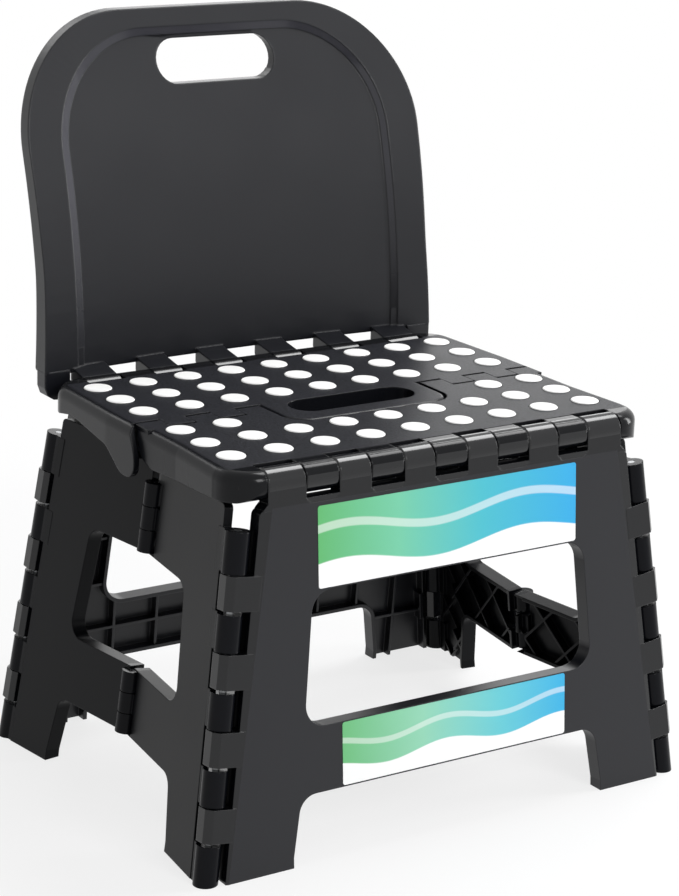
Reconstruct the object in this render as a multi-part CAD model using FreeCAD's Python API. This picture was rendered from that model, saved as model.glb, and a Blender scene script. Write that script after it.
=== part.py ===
import FreeCAD, Part
import math
import os

# Folding step stool with a backrest, moulded in plastic, all sizes in millimetres.
# X is right as seen from the front, Y runs to the rear and Z is up.
# The floor is Z = 0 and the seat's centre hinge lies over Y = 0.
# The front and the rear are alike, so most pieces are drawn at the front left and mirrored.

# Seat
seat_top = 223.0
seat_half_width = 139.5
seat_waist = 137.0
seat_plate = 3.0
seat_wall = 2.8
seat_edge_round = 6.5
seat_corner = 20.0
seat_rib = 1.8
seat_rib_pitch = 30.0
waist_start = 42.0

# Hinges along the front and rear edges of the seat
edge_axis_y = 99.8
edge_barrel = 8.0
edge_gap = 0.9
edge_columns = (10.95, 31.35, 52.95, 73.65, 94.65, 118.65)
column_gap = 0.3

# Hinge across the middle of the seat
centre_drop = 13.0
centre_barrel = 6.0
centre_columns = (71.4, 87.6, 103.8, 120.0)
centre_end = 136.0
centre_slit = 2.4
ear_inside = 137.4
ear_outside = 141.0
rear_half_width = 137.8
front_finger_reach = 4.2
rear_finger_reach = 6.4

# Handle that the rear half reaches over the hinge
handle_half_width = 55.0
handle_reach = 33.0
handle_corner = 15.0
handle_gap = 0.8
handle_depth = 18.0
grip_half_length = 41.5
grip_front = 19.5
grip_back = 5.4
scallop_pitch = 16.5
scallop_radius = 34.0
scallop_depth = 1.0

# Round grip pads on the seat
pad_diameter = 16.4
pad_rise = 0.5
pad_sink = 0.6
pad_pitch = 30.0
pad_rows_front = (71.7, 44.6)
pad_row_hinge = 17.6
pad_rows_rear = (24.2, 51.2, 78.3)
pads_each_side = 4
hinge_pads = (3, 4)

# Leg panels, front and rear
lean = 0.08
leg_thickness = 9.6
leg_skin = 3.0
leg_wall = 2.4
leg_rib = 1.8
leg_rib_pitch = 30.0
leg_top = 203.6
leg_flare = 3.0
leg_flare_height = 3.0
window_bottom = 78.0
window_top = 154.5
window_half_low = 98.4
window_half_high = 91.6
window_round = 13.0
arch_top = 40.2
arch_half_top = 100.8
arch_half_foot = 106.4
arch_round = 11.0
foot_round = 6.0
crease_floor = 148.2
crease_slope = 0.157
crease_depth = 0.9

# Corner hinges: slanted axes that meet in one point high above the stool on each side
corner_floor_x = 158.0
corner_floor_y = 117.0
corner_slope = 0.13
corner_barrel = 7.0
corner_edge = 8.3
leg_knuckles = ((24.0, 42.6), (65.6, 84.6), (107.6, 126.6), (149.8, 168.6))
side_knuckles = ((0.0, 21.6), (43.1, 63.2), (85.1, 105.2), (127.1, 147.4), (169.1, 192.0))
hook_slot = 4.5

# Side panels, two on each side, with a hinge between them
middle_floor_x = 148.5
middle_barrel = 6.0
middle_gap = 0.5
middle_edge = 7.0
middle_groups = ((42.0, 79.0), (148.6, 189.0))
middle_knuckle_gap = 0.5
side_face_out = 5.5
side_thickness = 9.5
side_skin = 3.0
side_wall = 2.4
side_top = 203.6
side_window_bottom = 80.5
side_window_top = 148.0
side_window_low = 62.0
side_window_high = 52.0
side_window_round = 10.0
side_arch_top = 41.5
side_arch_high = 64.5
side_arch_foot = 72.0
side_arch_round = 9.0
side_relief_width = 29.0
side_relief_depth = 5.0
lattice_pitch = 25.0
lattice_rib = 1.6

# Backrest
back_foot = 10.0
back_bottom_rise = 8.7
back_top = 428.0
back_radius = 441.0
back_bow_low = 8.0
back_bow_high = 4.0
back_skin = 3.0
back_rim_low = 13.0
back_rim_high = 8.0
back_rim_wall = 3.0
back_half_bottom = 137.3
back_half_waist = 135.0
back_waist_z = 280.0
back_half_top = 137.8
back_top_round = 75.0
back_slot_width = 75.0
back_slot_height = 26.0
back_slot_z = 397.0
back_panel_half = 114.0
back_panel_top = 417.0
back_panel_round = 66.0
back_panel_sink = 1.8
back_bevel = 4.5
back_rib = 1.8
back_rib_depth = 6.5
back_rib_pitch = 38.0
tab_inset = 0.6
tongue_front = 3.6
tongue_thick = 2.8
tongue_length = 14.0
tongue_side = 2.5

# Steel pins
pin_radius = 2.0
pin_clearance = 0.08
pin_end = 3.0

# Worked out from the sizes above
edge_axis_z = seat_top - edge_barrel
centre_axis_z = seat_top - centre_drop
lean_angle = math.atan(lean)
apex_z = corner_floor_y / lean
apex_x = corner_floor_x - corner_slope * apex_z
loose_bore = pin_radius + pin_clearance
half_gap = column_gap / 2
slot_wall_y = edge_axis_y - edge_barrel - edge_gap
over = 40.0

X_AXIS = FreeCAD.Vector(1, 0, 0)
Y_AXIS = FreeCAD.Vector(0, 1, 0)
Z_AXIS = FreeCAD.Vector(0, 0, 1)
ORIGIN = FreeCAD.Vector(0, 0, 0)


def point(x, y, z):
    return FreeCAD.Vector(x, y, z)


def rounded_wire(corners):
    """A closed outline in the XY plane from corners given as (x, y, radius)."""
    ends = []
    count = len(corners)
    for index in range(count):
        x, y, radius = corners[index]
        here = point(x, y, 0)
        if radius == 0:
            ends.append((here, None, here))
            continue
        before = point(corners[index - 1][0], corners[index - 1][1], 0)
        after = point(corners[(index + 1) % count][0], corners[(index + 1) % count][1], 0)
        to_before = (before - here).normalize()
        to_after = (after - here).normalize()
        half = to_before.getAngle(to_after) / 2
        reach = radius / math.tan(half)
        middle = (to_before + to_after).normalize() * (radius / math.sin(half) - radius)
        ends.append((here + to_before * reach, here + middle, here + to_after * reach))
    edges = []
    for index in range(count):
        start, middle, stop = ends[index]
        if middle is not None:
            edges.append(Part.Arc(start, middle, stop).toShape())
        following = ends[(index + 1) % count][0]
        if stop.distanceToPoint(following) > 1e-6:
            edges.append(Part.LineSegment(stop, following).toShape())
    return Part.Wire(edges)


def outline(corners):
    return Part.Face(rounded_wire(corners))


def prism(face, low, high):
    solid = face.extrude(point(0, 0, high - low))
    solid.translate(point(0, 0, low))
    return solid


def mirrored_corners(half):
    """Both halves of an outline from the corners of its right half, from bottom to top."""
    return list(half) + [(-x, y, radius) for x, y, radius in reversed(half)]


def box(low, high):
    return Part.makeBox(high[0] - low[0], high[1] - low[1], high[2] - low[2], point(*low))


def rod(radius, start, stop):
    return Part.makeCylinder(radius, start.distanceToPoint(stop), start, stop - start)


def profile_along_x(corners, low, high):
    """An outline drawn in (Y, Z) and carried from X = low to X = high."""
    solid = prism(outline(corners), low, high)
    place = FreeCAD.Placement(FreeCAD.Matrix(0, 0, 1, 0, 1, 0, 0, 0, 0, 1, 0, 0, 0, 0, 0, 1))
    solid.Placement = place.multiply(solid.Placement)
    return solid


def carried(shape, frame):
    origin, along, up, out = frame
    matrix = FreeCAD.Matrix(along.x, up.x, out.x, origin.x,
                            along.y, up.y, out.y, origin.y,
                            along.z, up.z, out.z, origin.z,
                            0, 0, 0, 1)
    moved = shape.copy()
    moved.Placement = FreeCAD.Placement(matrix).multiply(moved.Placement)
    return moved


def to_rear(shape):
    return shape.mirror(ORIGIN, Y_AXIS)


def to_right(shape):
    return shape.mirror(ORIGIN, X_AXIS)


def both_sides(shape):
    return [shape, to_right(shape)]


def above_floor(shape):
    return shape.cut(box((-400, -400, -2 * over), (400, 400, 0)))


def clean(shape):
    return shape.removeSplitter()


def merged(solids):
    return solids[0].fuse(solids[1:])


# Shared axes, given for the front left corner

def on_line(floor, z):
    apex = point(apex_x * -1, 0, apex_z)
    return floor + (apex - floor) * (z / apex_z)


def corner_axis(z):
    return on_line(point(-corner_floor_x, -corner_floor_y, 0), z)


def middle_axis(z):
    return on_line(point(-middle_floor_x, 0, 0), z)


def leg_frame():
    """Across, up along the panel and outwards, from the floor under the front face."""
    out = point(0, -math.cos(lean_angle), math.sin(lean_angle))
    up = point(0, math.sin(lean_angle), math.cos(lean_angle))
    face = point(0, -edge_axis_y, edge_axis_z) + out * edge_barrel
    origin = face - up * (face.z / up.z)
    return origin, X_AXIS, up, out


def side_frame():
    """From the middle hinge to the corner, up along the panel and outwards."""
    origin = middle_axis(0)
    corner = corner_axis(0) - X_AXIS * side_face_out
    along = (corner - origin).normalize()
    rise = middle_axis(apex_z) - origin
    up = (rise - along * rise.dot(along)).normalize()
    return origin, along, up, along.cross(up)


def hinge_frame(axis, z, panel_frame, inward):
    """At height z on an axis: into the panel, along the axis and outwards."""
    up = (axis(apex_z / 2) - axis(0)).normalize()
    out = panel_frame[3]
    out = (out - up * out.dot(up)).normalize()
    along = up.cross(out)
    if along.dot(inward) < 0:
        along = along * -1
    return axis(z), along, out, up


def knuckle(face, axis, panel_frame, inward, low, high):
    """A hinge knuckle: its section is drawn as (into the panel, outwards)."""
    frame = hinge_frame(axis, low, panel_frame, inward)
    length = axis(low).distanceToPoint(axis(high))
    solid = prism(face, 0, length)
    if frame[1].cross(frame[2]).dot(frame[3]) < 0:
        solid = solid.mirror(ORIGIN, X_AXIS)
        frame = (frame[0], frame[1] * -1, frame[2], frame[3])
    return carried(solid, frame)


def axis_bore(axis, radius, low, high):
    return rod(radius, axis(low), axis(high))


def line_at(frame, axis, z):
    """Where a hinge axis passes in a panel's own frame, as (along, up, out)."""
    offset = axis(z) - frame[0]
    return offset.dot(frame[1]), offset.dot(frame[2]), offset.dot(frame[3])


def height_in(frame, z):
    return z / frame[2].z


# Leg panels

def grid_ribs(width, height, pitch, thick, low, high):
    ribs = []
    for index in range(-int(width / pitch), int(width / pitch) + 1):
        x = index * pitch
        ribs.append(box((x - thick / 2, 0, low), (x + thick / 2, height, high)))
    for index in range(1, int(height / pitch) + 1):
        z = index * pitch
        ribs.append(box((-width, z - thick / 2, low), (width, z + thick / 2, high)))
    return ribs


def leg_edge(z):
    return corner_floor_x - corner_slope * z - corner_edge


def leg_outline(grow):
    arch = [
        (arch_half_foot + grow, -over, 0),
        (arch_half_foot + grow, height_in(leg_frame(), foot_round), 0),
        (arch_half_top + grow, arch_top + grow, arch_round + grow),
    ]
    outer = [
        (leg_edge(-over) - grow, -over, 0),
        (leg_edge(leg_top) - grow, leg_top - grow, 4.0),
    ]
    body = outline(mirrored_corners(outer))
    return body.cut(outline(mirrored_corners(arch)))


def leg_window(grow):
    half = [
        (window_half_low + grow, window_bottom - grow, window_round + grow),
        (window_half_high + grow, window_top + grow, window_round + grow),
    ]
    return outline(mirrored_corners(half))


def leg_column_pairs():
    return [(edge_columns[i] + half_gap, edge_columns[i + 1] - half_gap) for i in (0, 2, 4)]


def leg_columns(depth):
    """Roots that carry the panel up to its knuckles on the seat's edge."""
    frame = leg_frame()
    axis_up = (point(0, -edge_axis_y, edge_axis_z) - frame[0]).dot(frame[2])
    shoulder = leg_top + leg_flare_height
    solids = []
    for low, high in leg_column_pairs():
        root = [
            (low - leg_flare, leg_top - 1, 0),
            (high + leg_flare, leg_top - 1, 0),
            (high + leg_flare, leg_top, 0),
            (high, shoulder, 0),
            (high, axis_up, 0),
            (low, axis_up, 0),
            (low, shoulder, 0),
            (low - leg_flare, leg_top, 0),
        ]
        web = carried(prism(outline(root), -depth, 0), frame)
        barrel = rod(edge_barrel, point(low, -edge_axis_y, edge_axis_z),
                     point(high, -edge_axis_y, edge_axis_z))
        solids += both_sides(web.fuse(barrel))
    return solids


def leg_knuckle_section(open_hook):
    face = outline([
        (13.0, edge_barrel, 0),
        (-3.4, edge_barrel, 0),
        (-corner_barrel, 4.4, 0),
        (-corner_barrel, -2.4, 0),
        (-4.6, -5.2, 0),
        (4.6, -5.2, 0),
        (7.0, edge_barrel - leg_thickness, 0),
        (13.0, edge_barrel - leg_thickness, 0),
    ])
    if open_hook:
        bore = Part.Face(Part.Wire(Part.makeCircle(hook_slot / 2)))
        mouth = outline([
            (-hook_slot / 2, 0, 0),
            (-hook_slot / 2, -over, 0),
            (hook_slot / 2, -over, 0),
            (hook_slot / 2, 0, 0),
        ])
        return face.cut([bore, mouth])
    return face


def leg_panel(open_hooks):
    frame = leg_frame()
    deep = -leg_thickness
    plate = prism(leg_outline(0).cut(leg_window(0)), deep, 0)
    core = leg_outline(leg_wall).cut(leg_window(leg_wall))
    plate = plate.cut(prism(core, deep - 1, -leg_skin))
    inside = prism(core, deep + 1.2, -leg_skin / 2)
    ribs = grid_ribs(150.0, leg_top, leg_rib_pitch, leg_rib, deep, -leg_skin / 2)
    plate = plate.fuse(merged(ribs).common(inside).Solids)
    plate = plate.cut(both_sides(border_bevel()))
    panel = carried(plate, frame)
    panel = panel.fuse(leg_columns(leg_thickness))
    section = leg_knuckle_section(open_hooks)
    knuckles = []
    for low, high in leg_knuckles:
        knuckles += both_sides(knuckle(section, corner_axis, frame, X_AXIS, low, high))
    panel = panel.fuse(knuckles)
    if not open_hooks:
        panel = panel.cut(both_sides(axis_bore(corner_axis, pin_radius, -5, apex_z / 6)))
    return above_floor(panel)


def border_bevel():
    """Thin wedge taken off the face between the crease and the panel's side edge."""
    low = -10.0
    high = leg_top + 10.0
    lower = wedge_section(low)
    upper = wedge_section(high)
    return Part.makeLoft([lower, upper], True, True)


def wedge_section(z):
    crease = -(crease_floor - crease_slope * z)
    edge = -(leg_edge(z) + 1.0)
    return Part.makePolygon([
        point(crease, z, 0),
        point(edge, z, -crease_depth),
        point(edge, z, 5.0),
        point(crease, z, 5.0),
        point(crease, z, 0),
    ])


def front_leg_panel():
    bore = rod(pin_radius + pin_clearance, point(-over * 5, -edge_axis_y, edge_axis_z),
               point(over * 5, -edge_axis_y, edge_axis_z))
    return clean(leg_panel(True).cut(bore))


def rear_leg_panel():
    """The rear panel has closed corner knuckles and sockets for the backrest's tongues."""
    bore = rod(pin_radius, point(-over * 5, -edge_axis_y, edge_axis_z),
               point(over * 5, -edge_axis_y, edge_axis_z))
    panel = to_rear(leg_panel(False).cut(bore))
    return clean(panel.cut(tongues()))


# Side panels

def side_outline(grow):
    frame = side_frame()
    foot = line_at(frame, corner_axis, 0)
    head = line_at(frame, corner_axis, side_top)
    slope = (head[0] - foot[0]) / (head[1] - foot[1])
    top = height_in(frame, side_top)
    edge_low = foot[0] - slope * over - corner_edge - grow
    edge_top = foot[0] + slope * top - corner_edge - grow
    body = outline([
        (middle_gap + grow, -over, 0),
        (edge_low, -over, 0),
        (edge_top, top - grow, 3.0),
        (middle_gap + grow, top - grow, 0),
    ])
    arch = outline([
        (-over, -2 * over, 0),
        (side_arch_foot + grow, -2 * over, 0),
        (side_arch_foot + grow, height_in(frame, foot_round), 0),
        (side_arch_high + grow, height_in(frame, side_arch_top) + grow, side_arch_round + grow),
        (-over, height_in(frame, side_arch_top) + grow, 0),
    ])
    window = outline([
        (-over, height_in(frame, side_window_bottom) - grow, 0),
        (side_window_low + grow, height_in(frame, side_window_bottom) - grow,
         side_window_round + grow),
        (side_window_high + grow, height_in(frame, side_window_top) + grow,
         side_window_round + grow),
        (-over, height_in(frame, side_window_top) + grow, 0),
    ])
    return body.cut([arch, window])


def lattice_ribs(low, high):
    """Diagonal ribs both ways, which stiffen the hollow inner side."""
    ribs = []
    reach = 320.0
    for turn in (45, -45):
        for index in range(-8, 15):
            rib = box((-reach, -lattice_rib / 2, low), (reach, lattice_rib / 2, high))
            rib.rotate(ORIGIN, Z_AXIS, turn)
            rib.translate(point(60.0, index * lattice_pitch * math.sqrt(2), 0))
            ribs.append(rib)
    return ribs


def middle_knuckle_spans(own_ends):
    """Each group has three knuckles: the ends belong to one panel, the middle to the other."""
    spans = []
    for low, high in middle_groups:
        third = (high - low) / 3
        for index in (0, 1, 2):
            if (index != 1) == own_ends:
                spans.append((low + third * index, low + third * (index + 1)))
    return spans


def side_panel(own_ends, corner_bore):
    frame = side_frame()
    deep = -side_thickness
    core = side_outline(side_wall)
    plate = prism(side_outline(0), deep, 0)
    plate = plate.cut(prism(core, deep - 1, -side_skin))
    inside = prism(core, deep + 1.0, -side_skin / 2)
    plate = plate.fuse(merged(lattice_ribs(deep, -side_skin / 2)).common(inside).Solids)
    foot = line_at(frame, corner_axis, 0)
    head = line_at(frame, corner_axis, side_top)
    relief = outline([
        (foot[0] - side_relief_width, -over, 0),
        (foot[0] + over, -over, 0),
        (head[0] + over, side_top + over, 0),
        (head[0] - side_relief_width, side_top + over, 0),
    ])
    plate = plate.cut(prism(relief, deep - 1, -side_relief_depth))
    notches = []
    for low, high in middle_knuckle_spans(not own_ends):
        notches.append(box((-over, height_in(frame, low) - middle_knuckle_gap, deep - 1),
                           (middle_edge, height_in(frame, high) + middle_knuckle_gap, 5)))
    panel = carried(plate.cut(notches), frame)
    inward = Y_AXIS
    knuckles = []
    face_out = line_at(frame, corner_axis, 100)[2] * -1
    corner_section = outline([
        (0, face_out - side_relief_depth, 0),
        (13.0, face_out - side_relief_depth, 0),
        (13.0, face_out, 0),
        (0, face_out, 0),
    ]).fuse(Part.Face(Part.Wire(Part.makeCircle(corner_barrel)))).removeSplitter()
    for low, high in side_knuckles:
        start = low if low > 0 else -3.0
        knuckles.append(knuckle(corner_section, corner_axis, frame, inward, start, high))
    middle_section = outline([
        (0, -6.0, 0),
        (9.0, -6.0, 0),
        (9.0, 0, 0),
        (0, 0, 0),
    ]).fuse(Part.Face(Part.Wire(Part.makeCircle(middle_barrel)))).removeSplitter()
    for low, high in middle_knuckle_spans(own_ends):
        knuckles.append(knuckle(middle_section, middle_axis, frame, inward * -1,
                                low + middle_knuckle_gap / 2, high - middle_knuckle_gap / 2))
    panel = panel.fuse(knuckles)
    middle_bore = pin_radius if own_ends else loose_bore
    panel = panel.cut([axis_bore(corner_axis, corner_bore, -5, apex_z / 6),
                       axis_bore(middle_axis, middle_bore, -5, apex_z / 6)])
    return clean(above_floor(panel))


# Seat halves, both drawn with the outer edge at the front

def seat_corner_arc():
    """Front of the seat's side view: a half round about the edge hinge."""
    low = edge_axis_z - edge_barrel
    front = -edge_axis_y - edge_barrel
    return [
        (front, seat_top, 0),
        (front, low, edge_barrel - 0.1),
    ]


def seat_slots():
    """Wide slots that take the leg panel's knuckles."""
    slots = []
    for low, high in leg_column_pairs():
        slot = box((low - column_gap, -edge_axis_y - over, centre_axis_z - over),
                   (high + column_gap, -slot_wall_y, seat_top + over))
        slots += both_sides(slot)
    return slots


def seat_shell(plan, side_view, core_plan):
    block = prism(outline(plan), centre_axis_z - over, seat_top)
    top_edges = []
    for edge in block.Edges:
        middle = edge.CenterOfMass
        at_top = abs(edge.BoundBox.ZMin - seat_top) < 0.01 and abs(edge.BoundBox.ZMax - seat_top) < 0.01
        if at_top and (middle.y < -1 and abs(middle.y - plan[-1][1]) > 1):
            top_edges.append(edge)
    block = block.makeFillet(seat_edge_round, top_edges)
    shape = profile_along_x(side_view, -200.0, 200.0)
    hollow = prism(outline(core_plan), centre_axis_z - over, seat_top - seat_plate)
    return block.common(shape).cut(hollow)


def seat_ribs(core_plan, low_y, high_y):
    bottom = centre_axis_z
    inside = prism(outline(core_plan), bottom, seat_top - seat_plate + 0.5)
    ribs = []
    count = int(seat_half_width / seat_rib_pitch)
    for index in range(-count, count + 1):
        x = index * seat_rib_pitch
        ribs.append(box((x - seat_rib / 2, low_y, bottom), (x + seat_rib / 2, high_y, seat_top)))
    rows = int((high_y - low_y) / seat_rib_pitch)
    for index in range(1, rows + 1):
        y = low_y + index * (high_y - low_y) / (rows + 1)
        ribs.append(box((-200, y - seat_rib / 2, bottom), (200, y + seat_rib / 2, seat_top)))
    return merged(ribs).common(inside).Solids


def finger(low, high, reach, root):
    """A finger of the centre hinge, from its root at Y = root to reach past the axis."""
    forward = 1 if root < 0 else -1
    tip = reach * forward
    top = seat_top
    side = [
        (root, centre_axis_z - 1.0, 0),
        (0, centre_axis_z - centre_barrel, 0),
        (0, centre_axis_z, 0),
        (centre_barrel * 0.6 * forward, centre_axis_z + 3.0, 0),
        (tip, centre_axis_z + 8.0, 0),
        (tip, top, 0),
        (root, top, 0),
    ]
    body = profile_along_x(side, low + half_gap, high - half_gap)
    barrel = rod(centre_barrel, point(low + half_gap, 0, centre_axis_z),
                 point(high - half_gap, 0, centre_axis_z))
    return body.fuse(barrel)


def front_seat_half():
    front = -edge_axis_y - edge_barrel
    half = [
        (seat_half_width - 1.5, front, seat_corner),
        (seat_half_width, -85.0, 0),
        (seat_waist, -waist_start, 0),
        (seat_waist, 1.0, 0),
    ]
    plan = plan_loop(half)
    side_view = seat_corner_arc() + [
        (-16.0, 202.0, 8.0),
        (1.0, 206.5, 14.0),
        (1.0, seat_top, 0),
    ]
    inner = [(x - seat_wall, y, max(r - seat_wall, 0)) for x, y, r in half]
    root = -centre_barrel - centre_slit - 0.2
    inner[0] = (inner[0][0], -slot_wall_y + seat_wall, 0)
    inner[-1] = (inner[-1][0], root - seat_wall, 0)
    core = plan_loop(inner)
    shell = seat_shell(plan, side_view, core)
    ribs = seat_ribs(core, -slot_wall_y, root)
    shell = shell.fuse(ribs)
    band = box((-seat_waist + seat_wall + 0.01, root, centre_axis_z - over),
               (seat_waist - seat_wall - 0.01, over, seat_top + over))
    low_ends = box((-seat_waist + seat_wall, -waist_start, centre_axis_z - over),
                   (seat_waist - seat_wall, over, centre_axis_z))
    shell = shell.cut([band, low_ends])
    ends = (handle_half_width + handle_gap,) + centre_columns + (centre_end,)
    fingers = []
    for index in (0, 2, 4):
        fingers += both_sides(finger(ends[index], ends[index + 1], front_finger_reach, root - 1.0))
    shell = shell.fuse(fingers)
    notch_half = handle_half_width + handle_gap
    notch = outline([
        (-notch_half, -handle_reach - handle_gap, handle_corner),
        (notch_half, -handle_reach - handle_gap, handle_corner),
        (notch_half, over, 0),
        (-notch_half, over, 0),
    ])
    wall = outline([
        (-notch_half - seat_wall, -handle_reach - handle_gap - seat_wall, handle_corner + seat_wall),
        (notch_half + seat_wall, -handle_reach - handle_gap - seat_wall, handle_corner + seat_wall),
        (notch_half + seat_wall, root, 0),
        (-notch_half - seat_wall, root, 0),
    ])
    shell = shell.fuse(prism(wall, centre_axis_z, seat_top))
    shell = shell.cut(prism(notch, 0, seat_top + over))
    shell = shell.cut(seat_slots())
    bores = [
        rod(pin_radius, point(-pin_span(), -edge_axis_y, edge_axis_z),
            point(pin_span(), -edge_axis_y, edge_axis_z)),
    ]
    bores += both_sides(centre_bore(loose_bore))
    return clean(shell.cut(bores + pad_sinks(front_pad_places())))


def rear_seat_half():
    front = -edge_axis_y - edge_barrel
    half = [
        (rear_half_width, front, seat_corner),
        (ear_outside, -30.0, 60.0),
        (ear_outside, 12.0, 0),
    ]
    plan = plan_loop(half)
    low = edge_axis_z - edge_barrel
    side_view = seat_corner_arc() + [
        (-92.0, low, 0),
        (-75.0, 210.3, 20.0),
        (-30.0, 204.6, 12.0),
        (-13.0, 192.6, 14.0),
        (2.5, 192.6, 9.0),
        (3.0, 206.0, 20.0),
        (-4.0, seat_top, 0),
    ]
    root = -centre_barrel - 0.6
    inner = [
        (rear_half_width - seat_wall, -slot_wall_y + seat_wall, 0),
        (ear_outside - seat_wall - 0.8, -30.0, 60.0),
        (ear_outside - seat_wall - 0.8, root - seat_wall, 0),
    ]
    core = plan_loop(inner)
    shell = seat_shell(plan, side_view, core)
    shell = shell.fuse(seat_ribs(core, -slot_wall_y, root))
    band = box((-ear_inside, root, centre_axis_z - over), (ear_inside, over, seat_top + over))
    shell = shell.cut(band)
    low_ends = box((-ear_inside, -waist_start, centre_axis_z - over),
                   (ear_inside, over, centre_axis_z))
    skirt_room = box((seat_waist - seat_wall - 0.6, -waist_start, centre_axis_z - over),
                     (ear_inside, over, seat_top - seat_plate))
    shell = shell.cut([low_ends] + both_sides(skirt_room))
    fingers = []
    for index in (0, 2):
        fingers += both_sides(finger(centre_columns[index], centre_columns[index + 1],
                                     rear_finger_reach, root - 1.0))
    shell = shell.fuse(fingers)
    shell = shell.fuse(handle())
    grip = [
        (-grip_half_length, -grip_back, (grip_front + grip_back) / 2 - 0.05),
        (grip_half_length, -grip_back, (grip_front + grip_back) / 2 - 0.05),
        (grip_half_length, grip_front, (grip_front + grip_back) / 2 - 0.05),
        (-grip_half_length, grip_front, (grip_front + grip_back) / 2 - 0.05),
    ]
    shell = shell.cut(prism(outline(grip), 0, seat_top + over))
    shell = shell.cut(seat_slots())
    bores = [
        rod(loose_bore, point(-pin_span(), -edge_axis_y, edge_axis_z),
            point(pin_span(), -edge_axis_y, edge_axis_z)),
    ]
    bores += both_sides(centre_bore(pin_radius))
    shell = shell.cut(bores + pad_sinks(rear_pad_places()))
    return clean(to_rear(shell))


def handle():
    """Grip bar and its sides, drawn like the rest of the rear half with the hinge at Y = 0."""
    plan = outline([
        (-handle_half_width, -20.0, 0),
        (handle_half_width, -20.0, 0),
        (handle_half_width, handle_reach, handle_corner),
        (-handle_half_width, handle_reach, handle_corner),
    ])
    block = prism(plan, seat_top - handle_depth, seat_top)
    edges = []
    for edge in block.Edges:
        flat = edge.BoundBox.ZMax - edge.BoundBox.ZMin < 0.01
        if flat and edge.CenterOfMass.y > -19:
            edges.append(edge)
    block = block.makeFillet(2.5, edges)
    scallops = []
    for index in (-1.5, -0.5, 0.5, 1.5):
        x = index * scallop_pitch
        centre_y = handle_reach + scallop_radius - scallop_depth
        scallops.append(Part.makeCylinder(scallop_radius, handle_depth * 2,
                                          point(x, centre_y, seat_top - handle_depth * 1.5)))
    return block.cut(scallops)


def plan_loop(half):
    """A plan from its right half, front first, closed across the hinge side."""
    left = [(-x, y, r) for x, y, r in half]
    return list(reversed(left)) + list(half)


def centre_bore(radius):
    return rod(radius, point(handle_half_width + handle_gap, 0, centre_axis_z),
               point(centre_end, 0, centre_axis_z))


def pin_span():
    return seat_half_width - pin_end * 2


# Grip pads

def front_pad_places():
    places = [(i * pad_pitch, -y) for y in pad_rows_front
              for i in range(-pads_each_side, pads_each_side + 1)]
    return places + [(side * i * pad_pitch, -pad_row_hinge) for side in (-1, 1) for i in hinge_pads]


def rear_pad_places():
    return [(i * pad_pitch, -y) for y in pad_rows_rear
            for i in range(-pads_each_side, pads_each_side + 1)]


def pad_discs(places, low, high):
    return [Part.makeCylinder(pad_diameter / 2, high - low, point(x, y, low)) for x, y in places]


def pad_sinks(places):
    return pad_discs(places, seat_top - pad_sink, seat_top + pad_rise)


def pads(places):
    return Part.makeCompound(pad_discs(places, seat_top - pad_sink, seat_top + pad_rise))


# Backrest

def back_front_y(z):
    return edge_axis_y + back_foot + (z - edge_axis_z) ** 2 / (2 * back_radius)


def back_bow(z):
    share = (z - edge_axis_z) / (back_top - edge_axis_z)
    return back_bow_low + (back_bow_high - back_bow_low) * share


def back_section(z, near, far):
    """One level of a bowed slab: near and far are its distances behind the front face."""
    half = 150.0
    bow = back_bow(z)
    front_y = back_front_y(z)
    arcs = []
    for depth in (near, far):
        ends = front_y + depth
        arcs.append((point(-half, ends, z), point(0, ends + bow, z), point(half, ends, z)))
    first = Part.Arc(*arcs[0]).toShape()
    second = Part.Arc(*arcs[1]).toShape()
    return Part.Wire([
        first,
        Part.LineSegment(arcs[0][2], arcs[1][2]).toShape(),
        second,
        Part.LineSegment(arcs[1][0], arcs[0][0]).toShape(),
    ])


def back_slab(near, far_low, far_high):
    levels = 6
    bottom = edge_axis_z - 5.0
    top = back_top + 10.0
    wires = []
    for index in range(levels):
        share = index / (levels - 1)
        z = bottom + (top - bottom) * share
        wires.append(back_section(z, near, far_low + (far_high - far_low) * share))
    return Part.makeLoft(wires, True, False)


def facing(face):
    """Carries an outline drawn as (X, Z) through the whole backrest."""
    solid = prism(face, -300.0, 0)
    frame = (point(0, 0, 0), X_AXIS, Z_AXIS, Y_AXIS * -1)
    return carried(solid, frame)


def back_outline(shrink):
    bottom = edge_axis_z + back_bottom_rise
    half = [
        (back_half_bottom - shrink, bottom + shrink, 3.0),
        (back_half_waist - shrink, back_waist_z, 300.0),
        (back_half_top - shrink, back_top - shrink, back_top_round - shrink),
    ]
    return outline(mirrored_corners(half))


def back_arch(shrink):
    half = [
        (back_panel_half - shrink, edge_axis_z - over, 0),
        (back_panel_half - shrink, back_panel_top - shrink, back_panel_round - shrink),
    ]
    return outline(mirrored_corners(half))


def back_slot(grow):
    half = [
        (back_slot_width / 2 + grow, back_slot_z - back_slot_height / 2 - grow,
         back_slot_height / 2 - 0.05 + grow),
        (back_slot_width / 2 + grow, back_slot_z + back_slot_height / 2 + grow,
         back_slot_height / 2 - 0.05 + grow),
    ]
    return outline(mirrored_corners(half))


def back_rib_strips():
    strips = []
    for index in range(-3, 4):
        x = index * back_rib_pitch
        strips.append(strip(x - back_rib / 2, 0, x + back_rib / 2, 2 * back_top))
    for index in range(1, 6):
        z = edge_axis_z + index * back_rib_pitch
        strips.append(strip(-200, z - back_rib / 2, 200, z + back_rib / 2))
    return strips


def strip(left, bottom, right, top):
    return outline([(left, bottom, 0), (right, bottom, 0), (right, top, 0), (left, top, 0)])


def tab_reach(x):
    bottom = edge_axis_z + back_bottom_rise
    share = 1 - (x / 150.0) ** 2
    return back_front_y(bottom) + back_bow(bottom) * share + back_skin * 0.7 - edge_axis_y


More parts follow.
